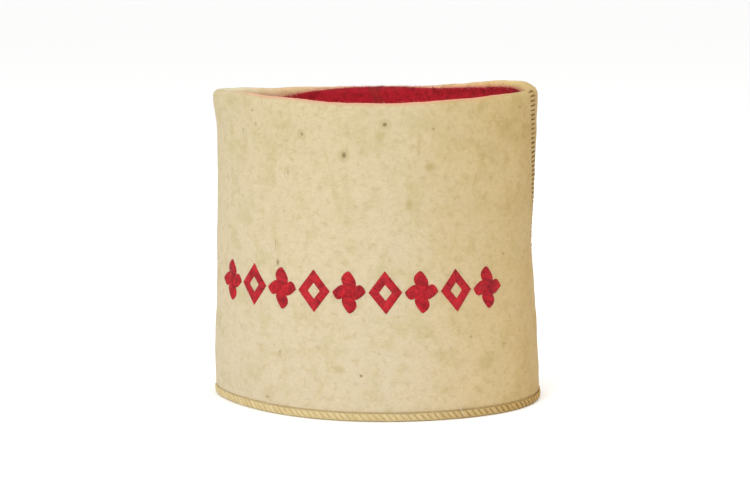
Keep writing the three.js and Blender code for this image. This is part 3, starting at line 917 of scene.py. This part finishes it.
def makeOvercastTree():
    # stitches that repeat along a path, each a padded bundle of threads on one bent line. Within a stitch
    # X runs along the path and Z out of the felt.
    tree, given, out = geometryTree("overcastStitches", {
        "Pitch": 0.004,
        "Start": (0.0, 0.0, 0.0),
        "Start Handle": (0.0, 0.0, 0.0),
        "End Handle": (0.0, 0.0, 0.0),
        "End": (0.0, 0.0, 0.0),
        "Strands": 3,
        "Strand Spacing": 0.001,
        "Thread Radius": 0.0005,
        "Padding": 0.1,
        "Sides": 7,
        "Steps": 12,
        "Unevenness": 0.06,
        "Seed": 1,
        "Material": None,
    })
    path = addNode(tree, "GeometryNodeMeshToCurve", {0: given["Geometry"]}).outputs[0]
    inputs = {"Curve": path, "Length": given["Pitch"]}
    spaced = addNode(tree, "GeometryNodeResampleCurve", inputs, mode="LENGTH").outputs[0]
    inputs = {label: given[label] for label in ("Start", "Start Handle", "End Handle", "End")}
    inputs["Resolution"] = given["Steps"]
    line = addNode(tree, "GeometryNodeCurvePrimitiveBezierSegment", inputs, mode="POSITION").outputs[0]
    thread = roundThread(tree, line, given["Thread Radius"], given["Sides"])
    # the bundle's strands, lower towards its sides
    middle = calc(tree, "MULTIPLY", calc(tree, "SUBTRACT", given["Strands"], 1.0), 0.5)
    toFirst = calc(tree, "MULTIPLY", calc(tree, "MULTIPLY", middle, given["Strand Spacing"]), -1.0)
    inputs = {
        "Count": given["Strands"],
        "Start Location": vectorOf(tree, x=toFirst),
        "Offset": vectorOf(tree, x=given["Strand Spacing"]),
    }
    row = addNode(tree, "GeometryNodeMeshLine", inputs, mode="OFFSET").outputs[0]
    strand = addNode(tree, "GeometryNodeInputIndex").outputs[0]
    halfRow = calc(tree, "MAXIMUM", middle, 0.5)
    fromMiddle = calc(tree, "DIVIDE", calc(tree, "SUBTRACT", strand, middle), halfRow)
    lower = calc(tree, "MULTIPLY", calc(tree, "MULTIPLY", fromMiddle, fromMiddle), given["Padding"])
    flatter = vectorOf(tree, 1.0, 1.0, calc(tree, "SUBTRACT", 1.0, lower))
    inputs = {"Points": row, "Instance": thread, "Scale": flatter}
    bundle = addNode(tree, "GeometryNodeInstanceOnPoints", inputs).outputs[0]
    # each stitch sits square to the felt, a little out of true
    inputs = {
        "Primary Axis": namedValue(tree, "facing", "FLOAT_VECTOR"),
        "Secondary Axis": namedValue(tree, "along", "FLOAT_VECTOR"),
    }
    square = addNode(tree, "FunctionNodeAxesToRotation", inputs, primary_axis="Z", secondary_axis="X")
    turned = turnBy(tree, square.outputs[0], randomVector(tree, given["Unevenness"], given["Seed"]))
    least = calc(tree, "SUBTRACT", 1.0, given["Unevenness"])
    most = calc(tree, "ADD", 1.0, given["Unevenness"])
    size = randomNumber(tree, least, most, calc(tree, "ADD", given["Seed"], 1.0))
    inputs = {"Points": spaced, "Instance": bundle, "Rotation": turned, "Scale": size}
    stitches = addNode(tree, "GeometryNodeInstanceOnPoints", inputs).outputs[0]
    finishThreads(tree, stitches, given, out)
    return tree


def makeSatinTree():
    # each strip of edges becomes one round thread, a little out of place
    tree, given, out = geometryTree("satinThreads", {
        "Thread Radius": 0.0002,
        "Sides": 5,
        "Unevenness": 0.00005,
        "Seed": 1,
        "Material": None,
    })
    lines = addNode(tree, "GeometryNodeMeshToCurve", {0: given["Geometry"]}).outputs[0]
    inputs = {"Geometry": lines, "Offset": randomVector(tree, given["Unevenness"], given["Seed"])}
    uneven = addNode(tree, "GeometryNodeSetPosition", inputs).outputs[0]
    finishThreads(tree, roundThread(tree, uneven, given["Thread Radius"], given["Sides"]), given, out)
    return tree


def makeFibreTree():
    # loose fibres that lie on the felt, thickest where its fuzz attribute is highest
    tree, given, out = geometryTree("looseFibres", {
        "Density": 1000.0,
        "Length": 0.002,
        "Thickness": 0.00005,
        "Lowest Lean": 1.1,
        "Highest Lean": 1.5,
        "Seed": 1,
        "Material": None,
    })
    wanted = calc(tree, "MULTIPLY", namedValue(tree, "fuzz", "FLOAT"), given["Density"])
    inputs = {"Mesh": given["Geometry"], "Density": wanted, "Seed": given["Seed"]}
    spots = addNode(tree, "GeometryNodeDistributePointsOnFaces", inputs).outputs
    spin = randomNumber(tree, 0.0, fullTurn, given["Seed"])
    leanSeed = calc(tree, "ADD", given["Seed"], 1.0)
    lean = randomNumber(tree, given["Lowest Lean"], given["Highest Lean"], leanSeed)
    laid = turnBy(tree, turnBy(tree, spots["Rotation"], vectorOf(tree, z=spin)), vectorOf(tree, x=lean))
    bow = calc(tree, "MULTIPLY", given["Length"], 0.15)
    inputs = {
        "Resolution": 4,
        "Start": (0.0, 0.0, 0.0),
        "Middle": vectorOf(tree, x=bow, z=calc(tree, "MULTIPLY", given["Length"], 0.5)),
        "End": vectorOf(tree, y=bow, z=given["Length"]),
    }
    line = addNode(tree, "GeometryNodeCurveQuadraticBezier", inputs).outputs[0]
    fibre = roundThread(tree, line, given["Thickness"], 3)
    size = randomNumber(tree, 0.5, 1.2, calc(tree, "ADD", given["Seed"], 2.0))
    inputs = {"Points": spots["Points"], "Instance": fibre, "Rotation": laid, "Scale": size}
    fibres = addNode(tree, "GeometryNodeInstanceOnPoints", inputs).outputs[0]
    finishThreads(tree, fibres, given, out)
    return tree


overcastStitches = makeOvercastTree()
satinThreads = makeSatinTree()
looseFibres = makeFibreTree()

# the overcast hem
hemSettings = {
    "pitch": 0.0043,
    "strands": 5,
    "strandSpacing": 0.00087,
    "threadRadius": 0.00050,
    "padding": 0.34,
    "slant": 0.0028,  # half of what a stitch runs along the hem while it goes around the edge
    "top": 0.0052,
    "halfThick": 0.00155,
    "ends": 0.9,  # shares of halfThick, where a stitch ends and where its line is drawn to at the edge
    "swell": 1.75,
    "lift": 0.0006,  # the middle of a stitch's thread clears the surface by this
    "unevenness": 0.03,
    # the sheet that lies flat under the stitches, in a darker copy of the hem's yarn as painted shade for
    # the gaps between them
    "flatTop": 0.0050,
    "flatDrop": 0.0044,
    "flatThick": 0.0003,
    "flatInner": 0.75,  # share of the felt's half thickness
}


def makeHem():
    turns = np.linspace(0, fullTurn, 480, endpoint=False)
    level = np.zeros(len(turns))
    out = planOut(turns, level)
    points = np.column_stack([bandPlan(turns, level) - out * hat["felt"] / 2, level])
    along = np.column_stack([-out[:, 1], out[:, 0], level])
    path = pathCarrier("hemPath", points, along, np.column_stack([out, level]), closed=True)
    top, half, slant = hemSettings["top"], hemSettings["halfThick"], hemSettings["slant"]
    ends, swell = half * hemSettings["ends"], half * hemSettings["swell"]
    low = (4 * hemSettings["lift"] - top) / 3
    mesh = growMesh(path, overcastStitches, {
        "Pitch": hemSettings["pitch"],
        "Start": (-slant, top, ends),
        "Start Handle": (slant, low, swell),
        "End Handle": (slant, low, -swell),
        "End": (-slant, top, -ends),
        "Strands": hemSettings["strands"],
        "Strand Spacing": hemSettings["strandSpacing"],
        "Thread Radius": hemSettings["threadRadius"],
        "Padding": hemSettings["padding"],
        "Sides": 6,
        "Steps": 14,
        "Unevenness": hemSettings["unevenness"],
        "Seed": 3,
        "Material": hemYarn,
    })
    bpy.data.objects.remove(path)
    return addObject("hemStitches", mesh)


def makeHemUnderlay():
    # a thin sheet flat against the felt's edge under the stitches, in a darker copy of the hem's yarn:
    # painted shade for the gaps between the stitches
    turns = np.linspace(0, fullTurn, 300, endpoint=False)
    level = np.zeros(len(turns))
    out, base, half = planOut(turns, level), bandPlan(turns, level), hat["felt"] / 2
    outer, inner = [], []
    for share in np.linspace(1, 0, 13):
        swing, drop = math.cos(math.pi * share), math.sin(math.pi * share) ** 0.5
        outerLevel = level + hemSettings["flatTop"] - hemSettings["flatDrop"] * drop
        innerLevel = outerLevel + hemSettings["flatThick"] * drop
        innerSwing = hemSettings["flatInner"] * swing
        outer.append(np.column_stack([base + out * half * (swing - 1), outerLevel]))
        inner.append(np.column_stack([base + out * half * (innerSwing - 1), innerLevel]))
    return addObject("hemUnderlay", ringShell("hemUnderlay", np.array(outer), np.array(inner)), hemYarnPaintedShade)


hemStitches = makeHem()
hemUnderlay = makeHemUnderlay()

# a cut end of thread left hanging over the hem, right of the middle
tailSettings = {
    "places": ((0.0562, 0.0098), (0.0578, 0.0080), (0.0592, 0.0050), (0.0606, 0.0020)),  # x and height
    "proud": 0.0006,
    "radius": 0.00028,
}


def onFrontAt(x, height, proud):
    turns = np.linspace(math.pi * 1.1, math.pi * 1.9, 400)
    turn = np.array(np.interp(x, bandPlan(turns, np.full(400, height))[:, 0], turns))
    flat = bandPlan(turn, np.array(height)) + planOut(turn, np.array(height)) * proud
    return [*flat, height]


def makeTail():
    mesh = bpy.data.meshes.new("tailLine")
    points = [onFrontAt(x, height, tailSettings["proud"]) for x, height in tailSettings["places"]]
    mesh.from_pydata(points, [(i, i + 1) for i in range(len(points) - 1)], [])
    line = addObject("tailLine", mesh)
    made = growMesh(line, satinThreads, {
        "Thread Radius": tailSettings["radius"],
        "Sides": 8,
        "Unevenness": 0.0001,
        "Seed": 2,
        "Material": tailThread,
    })
    bpy.data.objects.remove(line)
    return addObject("threadTail", made)


threadTail = makeTail()

# the side seam
seamSettings = {
    "pitch": 0.0030,
    "strands": 3,
    "strandSpacing": 0.00062,
    "threadRadius": 0.00040,
    "padding": 0.25,
    "halfWidth": 0.0040,
    "rise": 0.0006,
    "sunk": -0.0010,
    "from": 0.0085,
}


def makeSeam():
    firstRoll = float(rollStartAt(np.array(0.0)))
    turns, lengths = [], []
    for share in np.linspace(0, 1, 110):
        level = seamSettings["from"] + (firstRoll - seamSettings["from"]) * share
        turns.append(float(BandLoop(level, 0.0).turnAt(-seamOffsetAt(level))))
        rollStart = float(rollStartAt(np.array(turns[-1])))
        lengths.append(seamSettings["from"] + (rollStart - seamSettings["from"]) * share)
    for past in np.linspace(0, seamOverRoll, 9)[1:]:
        turns.append(turns[-1])
        lengths.append(rollStart + past)
    turns, lengths = np.array(turns), np.array(lengths)
    points, facing = feltFace(turns, lengths), outOf(feltFace, turns, lengths)
    along = np.gradient(points, axis=0)
    along /= np.linalg.norm(along, axis=1, keepdims=True)
    path = pathCarrier("seamPath", points, along, facing, closed=False)
    half, rise, sunk = seamSettings["halfWidth"], seamSettings["rise"], seamSettings["sunk"]
    mesh = growMesh(path, overcastStitches, {
        "Pitch": seamSettings["pitch"],
        "Start": (0.0, -half, sunk),
        "Start Handle": (0.0, -half, rise),
        "End Handle": (0.0, half, rise),
        "End": (0.0, half, sunk),
        "Strands": seamSettings["strands"],
        "Strand Spacing": seamSettings["strandSpacing"],
        "Thread Radius": seamSettings["threadRadius"],
        "Padding": seamSettings["padding"],
        "Sides": 6,
        "Steps": 9,
        "Unevenness": 0.06,
        "Seed": 5,
        "Material": seamYarn,
    })
    bpy.data.objects.remove(path)
    return addObject("seamStitches", mesh)


seamStitches = makeSeam()
print("hem and seam stitched", len(hemStitches.data.polygons), len(seamStitches.data.polygons))

# the embroidered row
embroidery = {
    "count": 9,
    "pitch": 0.023,
    "tall": 0.027,
    "wide": 0.021,
    "leaf": 0.0092,
    "stroke": 0.0050,
    "middle": 0.083,  # height above the hem
    "shift": -0.010,  # along the felt, from the front's middle to the row's middle
    "threadSpacing": 0.00038,
    "threadRadius": 0.00025,
    "proud": 0.00095,
    "threadSteps": 6,
}


def leafThreads(length):
    # threads across one pointed leaf that grows along +X from the motif's middle
    t = np.linspace(0, 1, 200)
    notch, bulge = embroidery["leaf"] * 0.24, embroidery["leaf"] * 0.86
    reach = (1 - t) ** 2 * notch + 2 * t * (1 - t) * length * 0.55 + t**2 * length
    side = (1 - t) ** 2 * notch + 2 * t * (1 - t) * bulge
    threads = []
    for place in np.arange(notch * 0.7, length * 0.98, embroidery["threadSpacing"]):
        wide = np.interp(place, reach, side)
        slant = wide * 0.3
        threads.append(((place - slant, -wide), (min(place + slant, length), wide)))
    return threads


def leafCross():
    threads = []
    for quarter in range(4):
        c, s = (1, 0, -1, 0)[quarter], (0, 1, 0, -1)[quarter]
        length = embroidery["tall" if quarter % 2 else "wide"] / 2
        for ends in leafThreads(length):
            threads.append([(x * c - y * s, x * s + y * c) for x, y in ends])
    eye = embroidery["leaf"] * 0.26  # a small satin spot over the leaves' feet
    for y in np.arange(-eye, eye, embroidery["threadSpacing"]):
        reach = math.sqrt(max(0, eye**2 - y**2))
        threads.append([(-reach, y), (reach, y)])
    return threads


def lozenge():
    wide, tall, stroke = embroidery["wide"] / 2, embroidery["tall"] / 2, embroidery["stroke"]
    slant = math.hypot(wide, tall)
    innerWide, innerTall = wide - stroke * slant / tall, tall - stroke * slant / wide
    corners = ((1, 0), (0, 1), (-1, 0), (0, -1), (1, 0))
    threads = []
    for (fromX, fromY), (toX, toY) in zip(corners, corners[1:]):
        steps = int(slant / embroidery["threadSpacing"])
        for step in range(steps):
            share = (step + 0.5) / steps
            x, y = fromX + (toX - fromX) * share, fromY + (toY - fromY) * share
            threads.append([(x * wide, y * tall), (x * innerWide, y * innerTall)])
    return threads


frontLoop = BandLoop(embroidery["middle"], 1.5 * math.pi)


def layOnFront(x, y, proud):
    turn, height = frontLoop.turnAt(x), embroidery["middle"] + y
    points, out = feltFace(turn, height), outOf(feltFace, turn, height)
    proud = proud + bandSettings["lump"] * unevenness(points, bandSettings["lumpSize"], 1)
    return points + out * proud[..., None]


def makeMotif(number, threads, middle):
    steps = embroidery["threadSteps"]
    along = np.linspace(0, 1, steps + 1)
    arch = 1 - np.abs(2 * along - 1) ** 2.5
    points, edges = [], []
    for (fromX, fromY), (toX, toY) in threads:
        first = len(points)
        padding = min(1.0, math.hypot(toX - fromX, toY - fromY) / 0.005)
        proud = embroidery["proud"] * arch * (0.45 + 0.55 * padding)
        x, y = middle + fromX + (toX - fromX) * along, fromY + (toY - fromY) * along
        points.extend(layOnFront(x, y, proud).tolist())
        edges.extend((first + i, first + i + 1) for i in range(steps))
    mesh = bpy.data.meshes.new("motifLines")
    mesh.from_pydata(points, edges, [])
    lines = addObject("motifLines", mesh)
    made = growMesh(lines, satinThreads, {
        "Thread Radius": embroidery["threadRadius"],
        "Sides": 5,
        "Unevenness": 0.00004,
        "Seed": number,
        "Material": embroideryThread,
    })
    bpy.data.objects.remove(lines)
    return addObject(f"embroideryMotif{number}", made)


def makeEmbroidery():
    first = embroidery["shift"] - (embroidery["count"] - 1) * embroidery["pitch"] / 2
    made = []
    for number in range(1, embroidery["count"] + 1):
        threads = leafCross() if number % 2 else lozenge()
        made.append(makeMotif(number, threads, first + (number - 1) * embroidery["pitch"]))
    return made


motifs = makeEmbroidery()
print("embroidery stitched", sum(len(motif.data.polygons) for motif in motifs))

# loose wool, most of it where the red felt meets the cream
fuzzSettings = {
    "creamReach": 0.0024,
    "redReach": 0.0036,
    "elsewhere": 0.004,  # share of the density away from the seam between the felts
    "creamDensity": 1600000.0,
    "redDensity": 2200000.0,
    "creamLength": 0.0024,
    "redLength": 0.0030,
    "thickness": 0.00006,
}


def growFuzz(colour, felt, columns, edgeRow, rows, seed, material):
    # rows are counted as in the felt's own mesh, and edgeRow is the one at the seam between the felts
    places = np.array([vertex.co for vertex in felt.data.vertices])
    row = np.arange(len(places)) // columns
    edge = places[edgeRow * columns:(edgeRow + 1) * columns]
    away = np.full(len(places), 1.0)
    onFace = np.flatnonzero(row < rows)
    away[onFace] = np.linalg.norm(places[onFace] - edge[onFace % columns], axis=1)
    reach = fuzzSettings[colour + "Reach"]
    onWall = (row < rows) & (places[:, 2] > hemSettings["top"] + fuzzSettings[colour + "Length"])
    share = np.maximum(fuzzSettings["elsewhere"] * onWall, 1 - smoothStep(away, reach * 0.4, reach))
    layer = felt.data.attributes.new("fuzz", "FLOAT", "POINT")
    layer.data.foreach_set("value", share.astype(np.float32))
    mesh = growMesh(felt, looseFibres, {
        "Density": fuzzSettings[colour + "Density"],
        "Length": fuzzSettings[colour + "Length"],
        "Thickness": fuzzSettings["thickness"],
        "Lowest Lean": 1.42,
        "Highest Lean": 1.56,
        "Seed": seed,
        "Material": material,
    })
    felt.data.attributes.remove(felt.data.attributes["fuzz"])
    return addObject(colour + "Fuzz", mesh)


bandColumnCount = bandSettings["columns"] + bandSettings["seamColumns"]
bandRowCount = len(hemLevels)
bandRowCount += bandSettings["wallRows"] + bandSettings["rollRows"] + bandSettings["turnInRows"]
crownRowCount = crownSettings["sideRows"] + crownSettings["dishRows"]
creamFuzz = growFuzz("cream", feltBand, bandColumnCount, bandRowCount - 1, bandRowCount, 7, creamFelt)
redFuzz = growFuzz("red", feltCrown, crownSettings["columns"], 0, crownRowCount, 8, redFelt)
print("loose wool grown", len(creamFuzz.data.polygons), len(redFuzz.data.polygons))

# floor, lights and camera
studio = {
    "floorHalf": 40.0,
    "floorColour": (0.97, 0.97, 0.965, 1.0),
    "world": 1.0,
    "lights": (
        # name, place, size, watts, colour
        ("keyLight", (-0.9, -1.9, 0.8), 1.2, 20.0, (1.0, 0.985, 0.95)),
        ("fillLight", (1.0, -1.6, 1.1), 1.2, 2.5, (1.0, 0.95, 0.87)),
        ("topLight", (0.1, -0.2, 1.8), 1.2, 9.0, (1.0, 1.0, 1.0)),
    ),
    "lightTarget": (0.0, 0.0, 0.10),
}

cameraSettings = {
    "away": 1.200,
    "height": 0.292,
    "aim": 0.098,
    "turn": 4.5,  # degrees to the right of the front
    "aside": 0.0013,
    "focalPixels": 1824,
    "pixelsWide": 750,
}


def makeFloor():
    half = studio["floorHalf"]
    mesh = bpy.data.meshes.new("floor")
    corners = [(-half, -half, 0), (half, -half, 0), (half, half, 0), (-half, half, 0)]
    mesh.from_pydata(corners, [], [(0, 1, 2, 3)])
    material, _, shader, _ = newMaterial("paleFloor", Roughness=0.9, Specular_IOR_Level=0.1)
    shader.inputs["Base Color"].default_value = studio["floorColour"]
    return addObject("floor", mesh, material)


def aimFrom(thing, place, target):
    thing.location = place
    thing.rotation_mode = "QUATERNION"
    thing.rotation_quaternion = (Vector(target) - Vector(place)).to_track_quat("-Z", "Y")


def makeLights():
    for name, place, size, watts, colour in studio["lights"]:
        lamp = bpy.data.lights.new(name, "AREA")
        lamp.shape = "DISK"
        lamp.size, lamp.energy, lamp.color = size, watts, colour
        made = bpy.data.objects.new(name, lamp)
        bpy.context.scene.collection.objects.link(made)
        aimFrom(made, place, studio["lightTarget"])
    world = bpy.data.worlds.new("studio")
    world.use_nodes = True
    background = world.node_tree.nodes["Background"].inputs
    background["Color"].default_value = (1.0, 1.0, 1.0, 1.0)
    background["Strength"].default_value = studio["world"]
    bpy.context.scene.world = world
    bpy.context.scene.view_settings.view_transform = "Standard"


def makeCamera():
    turn = math.radians(cameraSettings["turn"])
    aside = Vector((math.cos(turn), math.sin(turn), 0)) * cameraSettings["aside"]
    place = Vector((math.sin(turn), -math.cos(turn), 0)) * cameraSettings["away"] - aside
    place.z = cameraSettings["height"]
    target = Vector((0, 0, cameraSettings["aim"])) - aside
    lens = bpy.data.cameras.new("camera")
    lens.lens = lens.sensor_width * cameraSettings["focalPixels"] / cameraSettings["pixelsWide"]
    camera = bpy.data.objects.new("camera", lens)
    bpy.context.scene.collection.objects.link(camera)
    aimFrom(camera, place, target)
    bpy.context.scene.camera = camera


makeLights()
makeCamera()
makeFloor()

dressed = [
    (feltBand, "felt_band", "cream_felt"),
    (feltCrown, "sunk_crown", "red_felt"),
    (hemStitches, "hem_stitching", "cream_thread"),
    (seamStitches, "side_seam_stitching", "cream_thread"),
    (hemUnderlay, None, "cream_thread"),
    (threadTail, None, "cream_thread"),
    (creamFuzz, None, "cream_felt"),
    (redFuzz, None, "red_felt"),
]
for number, motif in enumerate(motifs, 1):
    shape = "leaf_cross" if number % 2 else "lozenge"
    dressed.append((motif, f"embroidery_{shape}_{number}", "red_thread"))
for piece, node, slot in dressed:
    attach(piece, "root")
    if node:
        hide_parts(node)
